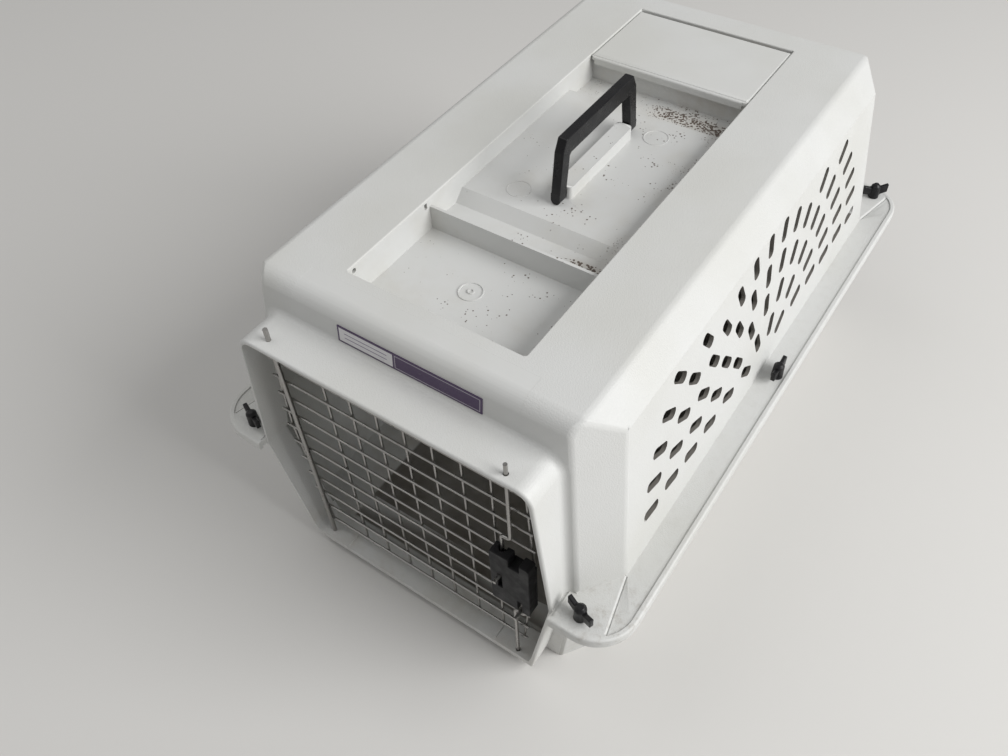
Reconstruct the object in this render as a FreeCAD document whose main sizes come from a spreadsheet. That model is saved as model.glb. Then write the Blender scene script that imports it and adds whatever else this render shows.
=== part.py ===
"""Moulded travel kennel for a small pet, as a parametric assembly in millimetres.

Frame: +X to the right of the door, +Y towards the back, +Z up.
Origin: on the floor, under the middle of the flange's outline.
"""
import FreeCAD, Part
import math
import os
import re
import Sketcher

Vector = FreeCAD.Vector

# Driving sizes in millimetres, degrees or counts. Lengths named front or rear are distances
# from the origin along Y.
SIZES = {
    # body of the kennel: loft sections at the base, the parting line and the roof
    "roof_height": 304.0,
    "parting_height": 138.0,
    "wall": 3.0,
    "roof_half_width": 133.0,
    "upper_half_width": 150.0,
    "parting_half_width": 170.0,
    "base_half_width": 152.0,
    "upper_front": 246.0,
    "parting_front": 264.0,
    "base_front": 256.0,
    "upper_rear": 240.0,
    "parting_rear": 258.0,
    "base_rear": 248.0,
    "front_facet_width": 22.0,
    "front_facet_depth": 32.0,
    "rear_facet_width": 19.0,
    "rear_facet_depth": 24.0,
    "front_roof_radius": 15.0,
    "round_bite": 0.15,
    "cutter_margin": 8.0,
    # feet and floor
    "foot_height": 5.0,
    "foot_length": 70.0,
    "foot_width": 52.0,
    # flange that joins the two halves
    "flange_side_margin": 24.0,
    "flange_front_margin": 27.5,
    "flange_corner_radius": 34.0,
    "flange_thickness": 3.0,
    "rim_width": 4.0,
    "rim_drop": 5.0,
    "bead_height": 1.2,
    "flange_clearance": 0.5,
    "ear_pad_height": 1.0,
    "ear_pad_width": 13.0,
    # door hood in front of the doorway
    "hood_top_drop": 31.0,
    "hood_setback": 7.5,
    "hood_upper_inset": 25.0,
    "hood_parting_inset": 30.0,
    "hood_lower_inset": 31.0,
    "hood_lower_height": 26.0,
    "hood_toe_inset": 3.0,
    "hood_bottom": 10.0,
    "hood_lean": 3.0,
    "hood_corner_radius": 14.0,
    "hood_root_lap": 4.0,
    "sill_top": 18.0,
    # recess in the roof
    "recess_half_width": 75.0,
    "recess_half_length": 213.0,
    "compartment_depth": 28.0,
    "ledge_depth": 25.0,
    "plateau_depth": 16.0,
    "divider_front": 119.0,
    "divider_thickness": 2.5,
    "divider_drop": 7.5,
    "slope_foot": 88.0,
    "slope_head": 78.0,
    "plateau_rear": 83.0,
    "plateau_drop": 2.0,
    "compartment_wall_front": 123.0,
    "lid_rest_gap": 0.3,
    # rear compartment lid
    "lid_overhang": 6.0,
    "lid_rear_gap": 3.5,
    "lid_thickness": 3.0,
    "lid_sink": 0.5,
    "lid_side_gap": 0.5,
    "lid_lip_thickness": 2.5,
    "lid_lip_drop": 3.5,
    "lid_corner_radius": 4.0,
    "lid_pin_radius": 2.0,
    "lid_pin_reach": 2.6,
    "lid_pivot_inset": 6.5,
    "lid_pivot_drop": 5.0,
    "running_clearance": 0.06,
    "snap_notch_width": 3.0,
    "snap_notch_height": 5.0,
    # side vents: slots on arcs about a centre near the middle wing nut
    "vent_centre_rise": 9.5,
    "vent_first_radius": 41.0,
    "vent_arc_step": 30.7,
    "vent_arc_height_share": 0.945,
    "vent_length": 21.0,
    "vent_width": 9.2,
    "vent_corner": 4.0,
    # handle and its pedestal
    "pedestal_half_width": 7.0,
    "pedestal_half_length": 48.0,
    "pedestal_rise": 11.0,
    "handle_pivot_rise": 5.6,
    "handle_rise": 49.4,
    "handle_leg_gap": 1.0,
    "handle_leg_lean": 4.5,
    "handle_thickness": 8.0,
    "handle_leg_width": 10.5,
    "handle_grip_depth": 15.0,
    "handle_foot_gap": 0.6,
    "handle_edge_radius": 1.5,
    "handle_end_flat": 0.1,
    "handle_pin_radius": 3.0,
    "handle_pin_length": 7.0,
    "handle_side_gap": 0.5,
    # wire door
    "rod_inset": 23.0,
    "hinge_rod_setback": 10.0,
    "hinge_rod_radius": 1.9,
    "hinge_rod_overhang": 11.0,
    "hinge_rod_engagement": 6.0,
    "wire_radius": 1.0,
    "weld_depth": 0.2,
    "rung_count": 11,
    "low_rung_gap": 18.5,
    "top_rung_drop": 26.5,
    "bar_count": 7,
    "bar_spacing": 24.4,
    "first_bar_offset": 39.0,
    "bar_overhang": 15.0,
    "bar_underhang": 6.0,
    "door_top_gap": 11.0,
    "door_middle_gap": 20.0,
    "door_low_gap": 13.0,
    "door_middle_rise": 22.0,
    "side_wire_inset": 4.0,
    # squeeze latch
    "latch_rod_setback": 7.0,
    "latch_rod_radius": 1.5,
    "latch_rod_bend": 3.2,
    "latch_rod_hole_radius": 2.0,
    "latch_travel": 14.5,
    "upper_tip_overhang": 10.0,
    "upper_jog_rise": 18.0,
    "upper_jog_width": 7.5,
    "upper_finger_rise": 38.0,
    "lower_tip_engagement": 5.0,
    "lower_jog_drop": 17.0,
    "lower_jog_width": 9.0,
    "lower_finger_drop": 2.0,
    "finger_reach": 6.0,
    "housing_left_reach": 15.5,
    "housing_right_reach": 18.0,
    "housing_drop": 30.0,
    "housing_height": 68.0,
    "housing_setback": 0.5,
    "housing_corner_radius": 3.0,
    "housing_notch_start": 1.0,
    "housing_notch_width": 9.0,
    "housing_notch_depth": 9.0,
    "back_plate_thickness": 1.5,
    "channel_radius": 2.9,
    "channel_gap": 0.4,
    "spring_length": 26.0,
    "spring_outer_radius": 2.6,
    "spring_inner_radius": 1.8,
    "spring_gap": 0.3,
    # flange bolts and wing nuts
    "bolt_radius": 2.5,
    "bolt_hole_radius": 2.8,
    "bolt_head_radius": 7.0,
    "bolt_head_thickness": 3.0,
    "bolt_height": 11.0,
    "nut_hub_radius": 5.0,
    "nut_neck_radius": 4.5,
    "nut_height": 15.0,
    "nut_dome": 2.5,
    "nut_bore_depth": 11.5,
    "nut_wing_reach": 12.4,
    "nut_wing_thickness": 3.8,
    "nut_wing_low": 5.0,
    "nut_wing_high": 14.0,
    "nut_seat_gap": 0.3,
    "front_nut_side_inset": 35.5,
    "front_nut_end_inset": 14.5,
    "front_nut_turn": 160.0,
    "middle_nut_side_inset": 11.0,
    "middle_nut_rear": 2.0,
    "middle_nut_turn": 90.0,
    "rear_nut_side_inset": 26.0,
    "rear_nut_end_inset": 17.5,
    "rear_nut_turn": 40.0,
    # blank plate on the front face
    "label_width": 122.0,
    "label_height": 14.0,
    "label_thickness": 0.6,
    "label_seat_gap": 0.05,
    "label_offset": 4.0,
    "label_drop": 13.4,
}

# Sizes and places that follow from the ones above.
DERIVED = {
    "flange_half_width": "parting_half_width + flange_side_margin",
    "flange_half_length": "parting_front + flange_front_margin",
    "hood_top": "roof_height - hood_top_drop",
    "hood_front": "flange_half_length - hood_setback",
    "hood_upper_half_width": "upper_half_width - hood_upper_inset",
    "hood_parting_half_width": "parting_half_width - hood_parting_inset",
    "hood_lower_half_width": "base_half_width - hood_lower_inset",
    "hood_toe_half_width": "hood_lower_half_width - hood_toe_inset",
    "hood_root_depth": "hood_front - upper_front - hood_root_lap",
    "compartment_floor": "roof_height - compartment_depth",
    "ledge_floor": "roof_height - ledge_depth",
    "plateau_height": "roof_height - plateau_depth",
    "divider_top": "roof_height - divider_drop",
    "compartment_wall_top": "roof_height - lid_sink - lid_thickness - lid_rest_gap",
    "lid_front": "compartment_wall_front - lid_overhang",
    "lid_rear": "recess_half_length - lid_rear_gap",
    "lid_pivot_rear": "recess_half_length - lid_pivot_inset",
    "vent_centre_height": "parting_height + vent_centre_rise",
    "pedestal_top": "plateau_height + pedestal_rise",
    "handle_pivot_height": "plateau_height + handle_pivot_rise",
    "handle_top": "handle_pivot_height + handle_rise",
    "handle_foot_half_length": "pedestal_half_length + handle_leg_gap + handle_leg_width",
    "handle_head_half_length": "handle_foot_half_length - handle_leg_lean",
    "handle_end_drop": "handle_pivot_rise - handle_foot_gap",
    "handle_end_radius": "handle_thickness / 2 - handle_end_flat",
    "rod_half_spacing": "hood_upper_half_width - rod_inset",
    "hinge_rod_front": "hood_front - hinge_rod_setback",
    "hinge_rod_top": "hood_top + hinge_rod_overhang",
    "hinge_rod_bottom": "sill_top - hinge_rod_engagement",
    "top_rung_height": "hood_top - top_rung_drop",
    "rung_spacing": "(top_rung_height - sill_top - low_rung_gap) / (rung_count - 1)",
    "door_top_half_width": "hood_upper_half_width - door_top_gap",
    "door_middle_half_width": "hood_parting_half_width - door_middle_gap",
    "door_low_half_width": "hood_lower_half_width - door_low_gap",
    "door_middle_height": "parting_height + door_middle_rise",
    "latch_rod_front": "hood_front - latch_rod_setback",
    "finger_front": "hood_front + finger_reach",
    "housing_left": "rod_half_spacing - housing_left_reach",
    "housing_right": "rod_half_spacing + housing_right_reach",
    "housing_bottom": "parting_height - housing_drop",
    "housing_top": "housing_bottom + housing_height",
    "housing_front": "hood_front - housing_setback",
    "housing_notch_left": "rod_half_spacing + housing_notch_start",
    "housing_notch_right": "housing_notch_left + housing_notch_width",
    "upper_tip_height": "hood_top + upper_tip_overhang",
    "upper_jog_height": "housing_top + upper_jog_rise",
    "upper_finger_offset": "rod_half_spacing - upper_jog_width",
    "upper_finger_height": "housing_bottom + upper_finger_rise",
    "lower_tip_height": "sill_top - lower_tip_engagement",
    "lower_jog_height": "housing_bottom - lower_jog_drop",
    "lower_finger_offset": "rod_half_spacing + lower_jog_width",
    "lower_finger_height": "housing_bottom - lower_finger_drop",
    "front_nut_offset": "flange_half_width - front_nut_side_inset",
    "front_nut_front": "flange_half_length - front_nut_end_inset",
    "middle_nut_offset": "flange_half_width - middle_nut_side_inset",
    "rear_nut_offset": "flange_half_width - rear_nut_side_inset",
    "rear_nut_rear": "flange_half_length - rear_nut_end_inset",
    "label_top": "roof_height - label_drop",
}

# Slots on each vent arc, and how many of them fit under the side chamfer from each end.
VENT_ARCS = [(4, 4), (7, 7), (11, 11), (15, 15), (17, 5), (21, 5)]
HALF_TURN = 180.0

doc = FreeCAD.newDocument("pet_carrier")
sheet = doc.addObject("Spreadsheet::Sheet", "Sizes")
for row, (alias, number) in enumerate(SIZES.items(), start=1):
    sheet.set(f"A{row}", alias)
    sheet.set(f"B{row}", str(number))
    sheet.setAlias(f"B{row}", alias)
for row, (alias, formula) in enumerate(DERIVED.items(), start=1):
    sheet.set(f"D{row}", alias)
    sheet.set(f"E{row}", f"={formula}")
    sheet.setAlias(f"E{row}", alias)
doc.recompute()
WORDS = set(SIZES) | set(DERIVED)


def size(alias):
    """Number that the sheet holds for one of its words."""
    return float(sheet.get(alias))


def sized(text):
    """Expression in the sheet's words, made into one that the document understands."""
    return re.sub(r"[a-z_]+", lambda word: f"Sizes.{word[0]}" if word[0] in WORDS else word[0], text)


def bind(thing, **texts):
    """Tie properties to the sheet. A double underscore in a name stands for a dot."""
    for name, text in texts.items():
        thing.setExpression(name.replace("__", "."), sized(text))


def new_body(name):
    """Empty body in the document."""
    return doc.addObject("PartDesign::Body", name)


def start_sketch(body, name, plane, offset):
    """Sketch on one of the body's own planes, moved along its normal."""
    sketch = body.newObject("Sketcher::SketchObject", name)
    base = [feature for feature in body.Origin.OriginFeatures if feature.Role == plane][0]
    sketch.AttachmentSupport = [(base, "")]
    sketch.MapMode = "FlatFace"
    sketch.setExpression("AttachmentOffset.Base.z", sized(offset))
    return sketch


def outline(body, name, plane, loops, offset="0"):
    """Sketch of closed straight-sided loops whose corners are pairs of expressions."""
    sketch = start_sketch(body, name, plane, offset)
    first = 0
    for loop in loops:
        count = len(loop)
        turns = [2 * math.pi * step / count for step in range(count)]
        spots = [Vector(math.cos(turn), math.sin(turn), 0) * size("recess_half_width") for turn in turns]
        for step in range(count):
            sketch.addGeometry(Part.LineSegment(spots[step], spots[(step + 1) % count]), False)
        for step in range(count):
            following = first + (step + 1) % count
            sketch.addConstraint(Sketcher.Constraint("Coincident", first + step, 2, following, 1))
        for step, (across, along) in enumerate(loop):
            for kind, start, text in (("DistanceX", spots[step].x, across), ("DistanceY", spots[step].y, along)):
                index = sketch.addConstraint(Sketcher.Constraint(kind, first + step, 1, start))
                sketch.setExpression(f"Constraints[{index}]", sized(text))
        first += count
    doc.recompute()
    return sketch


def circle(body, name, plane, across, along, radius, offset="0"):
    """Sketch of one circle."""
    sketch = start_sketch(body, name, plane, offset)
    sketch.addGeometry(Part.Circle(Vector(1, 1, 0), Vector(0, 0, 1), size("wall")), False)
    for kind, text in (("DistanceX", across), ("DistanceY", along)):
        index = sketch.addConstraint(Sketcher.Constraint(kind, 0, 3, 1.0))
        sketch.setExpression(f"Constraints[{index}]", sized(text))
    index = sketch.addConstraint(Sketcher.Constraint("Radius", 0, size("wall")))
    sketch.setExpression(f"Constraints[{index}]", sized(radius))
    doc.recompute()
    return sketch


def mirrored(half):
    """Closed loop from its right half, listed from one end of the mirror line to the other."""
    left = [(f"-({across})", along) for across, along in reversed(half)]
    return half + left


def box_loop(low_x, high_x, low_y, high_y):
    """Rectangle as a loop."""
    return [(low_x, low_y), (high_x, low_y), (high_x, high_y), (low_x, high_y)]


def pad(body, sketch, name, length, symmetric=False, backwards=False):
    """Pad of a sketch."""
    feature = body.newObject("PartDesign::Pad", name)
    feature.Profile = sketch
    feature.SideType = "Symmetric" if symmetric else "One side"
    feature.Reversed = backwards
    bind(feature, Length=length)
    doc.recompute()
    return feature


def pocket_through(body, sketch, name):
    """Pocket right through the body, both ways from its sketch."""
    feature = body.newObject("PartDesign::Pocket", name)
    feature.Profile = sketch
    feature.Type = "ThroughAll"
    feature.SideType = "Symmetric"
    doc.recompute()
    return feature


def revolve(body, sketch, name):
    """Full turn of a sketch on the XZ plane about the Z axis."""
    feature = body.newObject("PartDesign::Revolution", name)
    feature.Profile = sketch
    feature.ReferenceAxis = (sketch, ["V_Axis"])
    feature.Angle = 2 * HALF_TURN
    doc.recompute()
    return feature


def edges_along(feature, direction, wanted=lambda middle: True):
    """Names of a feature's straight edges along a direction whose middle is wanted."""
    names = []
    for index, edge in enumerate(feature.Shape.Edges, start=1):
        straight = isinstance(edge.Curve, Part.Line)
        if straight and abs(abs(edge.Curve.Direction.dot(direction)) - 1) < 1e-6 and wanted(edge.CenterOfMass):
            names.append(f"Edge{index}")
    return names


def fillet(body, base, name, edge_names, radius):
    """Fillet on named edges of a feature."""
    feature = body.newObject("PartDesign::Fillet", name)
    feature.Base = (base, edge_names)
    bind(feature, Radius=radius)
    doc.recompute()
    return feature


def fuse(name, parts):
    """Union of several objects."""
    feature = doc.addObject("Part::MultiFuse", name)
    feature.Shapes = parts
    feature.Refine = True
    doc.recompute()
    return feature


def cut(name, base, tool):
    """One object less another."""
    feature = doc.addObject("Part::Cut", name)
    feature.Base = base
    feature.Tool = tool
    feature.Refine = True
    doc.recompute()
    return feature


def group(name, parts):
    """Separate solids kept together."""
    feature = doc.addObject("Part::Compound", name)
    feature.Links = parts
    doc.recompute()
    return feature


def upright(name, radius, height, x, y, z):
    """Cylinder along Z, its lower end at a point."""
    feature = doc.addObject("Part::Cylinder", name)
    bind(feature, Radius=radius, Height=height)
    bind(feature, Placement__Base__x=x, Placement__Base__y=y, Placement__Base__z=z)
    return feature


def crosswise(name, radius, length, y, z, start):
    """Cylinder along X, its left end at a point."""
    feature = doc.addObject("Part::Cylinder", name)
    feature.Placement.Rotation = FreeCAD.Rotation(Vector(0, 1, 0), HALF_TURN / 2)
    bind(feature, Radius=radius, Height=length)
    bind(feature, Placement__Base__x=start, Placement__Base__y=y, Placement__Base__z=z)
    return feature


def block(name, low, span):
    """Box from a low corner and three lengths."""
    feature = doc.addObject("Part::Box", name)
    bind(feature, Length=span[0], Width=span[1], Height=span[2])
    bind(feature, Placement__Base__x=low[0], Placement__Base__y=low[1], Placement__Base__z=low[2])
    return feature


def bent_wire(points, radius, bend):
    """Round wire along straight runs joined by arcs of one radius."""
    start = points[0]
    edges = []
    for corner, after in zip(points[1:-1], points[2:]):
        before = (start - corner).normalize()
        onward = (after - corner).normalize()
        half_angle = before.getAngle(onward) / 2
        setback = bend / math.tan(half_angle)
        leave = corner + before * setback
        join = corner + onward * setback
        inward = (before + onward).normalize()
        middle = corner + inward * (bend / math.sin(half_angle) - bend)
        edges.append(Part.LineSegment(start, leave).toShape())
        edges.append(Part.Arc(leave, middle, join).toShape())
        start = join
    edges.append(Part.LineSegment(start, points[-1]).toShape())
    path = Part.Wire(edges)
    heading = points[1] - points[0]
    ring = Part.Wire([Part.Circle(points[0], heading, radius).toShape()])
    return path.makePipeShell([ring], True, False)


def coded(name, shape):
    """Object for a shape that no feature makes directly."""
    feature = doc.addObject("Part::Feature", name)
    feature.Shape = shape
    return feature


def tapered_block(body, name, low, high, low_level, height, inset):
    """Block with flat drafted walls between two rectangles, each given as half width, front and rear."""
    wedge = body.newObject("PartDesign::AdditiveWedge", f"{name}_block")
    wedge.Placement.Rotation = FreeCAD.Rotation(Vector(1, 0, 0), HALF_TURN / 2)
    bind(wedge, Xmin=f"{inset} - {low[0]}", Xmax=f"{low[0]} - {inset}", Ymin="0", Ymax=height)
    bind(wedge, X2min=f"{inset} - {high[0]}", X2max=f"{high[0]} - {inset}")
    bind(wedge, Zmin=f"{inset} - {low[2]}", Zmax=f"{low[1]} - {inset}")
    bind(wedge, Z2min=f"{inset} - {high[2]}", Z2max=f"{high[1]} - {inset}")
    bind(wedge, Placement__Base__z=low_level)
    doc.recompute()
    return wedge


def facet_corners(body, base, name):
    """Flat facets down the four corners of a tapered block, the front ones larger than the rear ones."""
    for end in ("front", "rear"):
        sign = -1 if end == "front" else 1
        for side, hand in (("left", -1), ("right", 1)):
            names = []
            for index, edge in enumerate(base.Shape.Edges, start=1):
                upright_edge = abs(edge.Vertexes[0].Z - edge.Vertexes[-1].Z) > size("wall")
                sharp = edge.Length > size("parting_height") / 2
                in_corner = edge.CenterOfMass.y * sign > 0 and edge.CenterOfMass.x * hand > 0
                if upright_edge and sharp and in_corner:
                    names.append(f"Edge{index}")
            facet = body.newObject("PartDesign::Chamfer", f"{name}_{end}_{side}_facet")
            facet.Base = (base, names)
            facet.ChamferType = "Two distances"
            facet.FlipDirection = side == "left"
            bind(facet, Size=f"{end}_facet_width", Size2=f"{end}_facet_depth")
            doc.recompute()
            base = facet
    return base


def front_round(name, inset):
    """What the round along the roof's front edge takes away: a bar less a roll that just crosses both faces."""
    top = f"(roof_height - {inset})"
    edge = f"(upper_front - {inset})"
    radius = f"(front_roof_radius - {inset})"
    reach = f"({radius} - round_bite)"
    lean = f"((parting_front - upper_front) / ({top} - parting_height))"
    back = f"({reach} * (sqrt(1 + {lean} ^ 2) - {lean}))"
    half = "(upper_half_width + cutter_margin)"
    bar = block(f"{name}_round_bar", (f"-{half}", f"-{edge} - cutter_margin", f"{top} - {reach}"),
                (f"2 * {half}", f"{back} + cutter_margin", f"{reach} + cutter_margin"))
    roll = crosswise(f"{name}_round_roll", radius, f"2 * {half}", f"{back} - {edge}", f"{top} - {reach}", f"-{half}")
    return cut(f"{name}_front_round", bar, roll)


def upper_form(name, inset):
    """Upper half of the kennel as a solid block: drafted walls, round front, chamfered sides."""
    body = new_body(name)
    top = f"roof_height - {inset}"
    low = ("parting_half_width", "parting_front", "parting_rear")
    high = ("upper_half_width", "upper_front", "upper_rear")
    walls = tapered_block(body, name, low, high, "parting_height", f"{top} - parting_height", inset)
    facet_corners(body, walls, name)
    edge = f"roof_half_width - {inset} * (sqrt(2) - 1)"
    span = "(upper_half_width - roof_half_width + cutter_margin)"
    corner = [
        (f"{edge} - cutter_margin", f"{top} + cutter_margin"),
        (f"{edge} + 2 * {span}", f"{top} - 2 * {span}"),
        (f"{edge} + 2 * {span}", f"{top} + cutter_margin"),
    ]
    other = [(f"-({across})", along) for across, along in corner]
    pocket_through(body, outline(body, f"{name}_chamfer", "XZ_Plane", [corner, other]), f"{name}_side_chamfers")
    return cut(f"{name}_rounded", body, front_round(name, inset))


def lower_form(name, inset, bottom):
    """Lower half of the kennel as a solid block."""
    body = new_body(name)
    low = ("base_half_width", "base_front", "base_rear")
    high = ("parting_half_width", "parting_front", "parting_rear")
    walls = tapered_block(body, name, low, high, bottom, f"parting_height - ({bottom})", inset)
    facet_corners(body, walls, name)
    return body


def hood_form(name, loop, inset, front, round_height):
    """Door hood as a solid prism along Y, from its front to inside the cabin."""
    body = new_body(name)
    prism = pad(
        body,
        outline(body, f"{name}_outline", "XZ_Plane", loop, front),
        f"{name}_prism",
        f"{front} - hood_front + hood_root_depth + {inset}",
        backwards=True,
    )
    corners = edges_along(prism, Vector(0, 1, 0), lambda middle: middle.z > size(round_height) - size("wall") - 1)
    if corners:
        fillet(body, prism, f"{name}_corners", corners, f"hood_corner_radius - {inset}")
    return body


def rounded_plate(name, half_width, half_length, bottom, thickness, radius):
    """Flat plate about the origin with round corners in plan."""
    body = new_body(name)
    loop = box_loop(f"-({half_width})", half_width, f"-({half_length})", half_length)
    plate = pad(body, outline(body, f"{name}_outline", "XY_Plane", [loop], bottom), f"{name}_plate", thickness)
    fillet(body, plate, f"{name}_corners", edges_along(plate, Vector(0, 0, 1)), radius)
    return body


def profile_prism(name, loop, half_width):
    """Side profile in the YZ plane, padded both ways along X."""
    body = new_body(name)
    pad(body, outline(body, f"{name}_profile", "YZ_Plane", [loop]), f"{name}_prism", f"2 * ({half_width})", symmetric=True)
    return body


# Where the six bolts and their wing nuts stand, as expressions for X and Y.
BOLT_PLACES = {}
for side, sign in (("left", "-1"), ("right", "1")):
    BOLT_PLACES[f"front_{side}"] = (f"{sign} * front_nut_offset", "-front_nut_front")
    BOLT_PLACES[f"middle_{side}"] = (f"{sign} * middle_nut_offset", "middle_nut_rear")
    BOLT_PLACES[f"rear_{side}"] = (f"{sign} * rear_nut_offset", "rear_nut_rear")


def bolt_holes(name):
    """Clearance holes for the six bolts."""
    holes = []
    for place, (x, y) in BOLT_PLACES.items():
        low = "parting_height - rim_drop - cutter_margin"
        height = "rim_drop + flange_thickness + 2 * cutter_margin"
        holes.append(upright(f"{name}_{place}", "bolt_hole_radius", height, x, y, low))
    return holes


def upper_hood_loop(inset):
    """Front view of the hood above the parting line."""
    right = [
        (f"hood_parting_half_width - {inset}", "parting_height"),
        (f"hood_upper_half_width - {inset}", f"hood_top - {inset}"),
    ]
    return [mirrored(right)]


def lower_hood_loop(inset, bottom):
    """Front view of the hood below the parting line."""
    right = [
        (f"hood_toe_half_width - {inset}", bottom),
        (f"hood_lower_half_width - {inset}", f"hood_lower_height + {inset}"),
        (f"hood_parting_half_width - {inset}", "parting_height"),
    ]
    return [mirrored(right)]


def doorway_clearance():
    """Space in front of the hood that the flange leaves open."""
    low_y = "-flange_half_length - cutter_margin"
    depth = "flange_half_length + cutter_margin - hood_front"
    low = ("-hood_parting_half_width", low_y, "parting_height - rim_drop - cutter_margin")
    return block("doorway_front", low, ("2 * hood_parting_half_width", depth, "rim_drop + 3 * cutter_margin"))


def rim_gate():
    """Gap in the hanging rim where the lower hood stands."""
    low_y = "-flange_half_length - cutter_margin"
    depth = "flange_half_length + cutter_margin - parting_front + front_facet_depth"
    low = ("-hood_parting_half_width - flange_clearance", low_y, "parting_height - rim_drop - cutter_margin")
    span = ("2 * hood_parting_half_width + 2 * flange_clearance", depth, "rim_drop + cutter_margin")
    return block("rim_gate", low, span)


def upper_flange():
    """Flange of the upper half: a plate with a raised bead and a rim that hangs over the lower flange."""
    edge = "flange_corner_radius - rim_width"
    inner_width = "flange_half_width - rim_width"
    inner_length = "flange_half_length - rim_width"
    rise = "rim_drop + flange_thickness + bead_height"
    low = "parting_height - rim_drop"
    plate = rounded_plate("flange_upper", "flange_half_width", "flange_half_length", low, rise, "flange_corner_radius")
    bead = rounded_plate("flange_bead_void", inner_width, inner_length,
                         "parting_height + flange_thickness", "bead_height + cutter_margin", edge)
    rim = rounded_plate("flange_rim_void", inner_width, inner_length,
                        "parting_height - rim_drop - cutter_margin", "rim_drop + cutter_margin", edge)
    voids = group("flange_voids", [bead, rim, rim_gate()])
    return cut("flange_upper_blank", plate, voids)


def ear_pads():
    """Raised pads on the four corner ears, each bounded by a ridge that runs out from the side wall."""
    pads = []
    for end, front, facet in (("front", "parting_front", "front_facet"), ("rear", "parting_rear", "rear_facet")):
        sign = "-1" if end == "front" else "1"
        wall_y = f"{front} - {facet}_depth"
        out_y = "flange_half_length"
        body = new_body(f"ear_pads_{end}")
        root = "parting_half_width - wall"
        right = [
            (f"{root} - {facet}_width - wall", f"{sign} * ({front} - wall)"),
            (root, f"{sign} * ({wall_y} - wall)"),
            ("parting_half_width", f"{sign} * ({wall_y})"),
            ("parting_half_width + ear_pad_width", f"{sign} * ({out_y})"),
            (f"{root} - {facet}_width - wall", f"{sign} * ({out_y})"),
        ]
        left = [(f"-({across})", along) for across, along in right]
        sketch = outline(body, f"ear_{end}", "XY_Plane", [right, left], "parting_height + flange_thickness / 2")
        body.AllowCompound = True
        pad(body, sketch, f"ear_{end}_pad", "flange_thickness / 2 + ear_pad_height")
        inside = rounded_plate(f"ear_{end}_limit", "flange_half_width - rim_width", "flange_half_length - rim_width",
                               "parting_height", "2 * flange_thickness + ear_pad_height",
                               "flange_corner_radius - rim_width")
        kept = doc.addObject("Part::MultiCommon", f"ear_{end}_kept")
        kept.Shapes = [body, inside]
        pads.append(kept)
    return pads


def vent_cutters():
    """Slots through both side walls, set radially on arcs about a centre low on the wall."""
    length = size("vent_length")
    width = size("vent_width")
    depth = size("parting_half_width") - size("roof_half_width") + size("cutter_margin")
    slot = Part.makeBox(depth, length, width, Vector(0, -length / 2, -width / 2))
    long_edges = [edge for edge in slot.Edges if abs(edge.Curve.Direction.x) > 1 - 1e-6]
    slot = slot.makeFillet(size("vent_corner"), long_edges)
    centre = Vector(0, 0, size("vent_centre_height"))
    flatter = FreeCAD.Matrix()
    flatter.scale(1, 1, size("vent_arc_height_share"))
    slots = []
    for step, (count, kept) in enumerate(VENT_ARCS):
        radius = size("vent_first_radius") + step * size("vent_arc_step")
        for place in range(1, count + 1):
            if min(place, count + 1 - place) > kept:
                continue
            turn = HALF_TURN * place / (count + 1)
            for start in (size("roof_half_width"), -size("roof_half_width") - depth):
                spin = FreeCAD.Rotation(Vector(1, 0, 0), turn)
                place_on_arc = flatter.multVec(spin.multVec(Vector(start, radius, 0)))
                copy = slot.copy()
                copy.Placement = FreeCAD.Placement(centre + place_on_arc, spin)
                slots.append(copy)
    return coded("vent_slots", Part.makeCompound(slots))


def recess_loop():
    """Side profile of the recess: front compartment, divider, ledge, slope, plateau, trough, rear compartment."""
    top = "roof_height + cutter_margin"
    return [
        ("-recess_half_length", top),
        ("-recess_half_length", "compartment_floor"),
        ("-divider_front", "compartment_floor"),
        ("-divider_front", "divider_top"),
        ("divider_thickness - divider_front", "divider_top"),
        ("divider_thickness - divider_front", "ledge_floor"),
        ("-slope_foot", "ledge_floor"),
        ("-slope_head", "plateau_height"),
        ("plateau_rear", "plateau_height"),
        ("plateau_rear + plateau_drop", "ledge_floor"),
        ("compartment_wall_front", "ledge_floor"),
        ("compartment_wall_front", "compartment_wall_top"),
        ("compartment_wall_front + divider_thickness", "compartment_wall_top"),
        ("compartment_wall_front + divider_thickness", "compartment_floor"),
        ("recess_half_length", "compartment_floor"),
        ("recess_half_length", top),
    ]


def tray_loop():
    """Underside of the recess, one wall thickness below its floor."""
    top = "roof_height - wall / 2"
    return [
        ("-recess_half_length - wall", top),
        ("-recess_half_length - wall", "compartment_floor - wall"),
        ("wall - divider_front", "compartment_floor - wall"),
        ("wall - divider_front", "ledge_floor - wall"),
        ("-slope_foot", "ledge_floor - wall"),
        ("-slope_head", "plateau_height - wall"),
        ("plateau_rear - wall", "plateau_height - wall"),
        ("plateau_rear - wall", "ledge_floor - wall"),
        ("compartment_wall_front - wall", "ledge_floor - wall"),
        ("compartment_wall_front - wall", "compartment_floor - wall"),
        ("recess_half_length + wall", "compartment_floor - wall"),
        ("recess_half_length + wall", top),
    ]


LID_PIVOT_HEIGHT = "roof_height - lid_pivot_drop"


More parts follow.
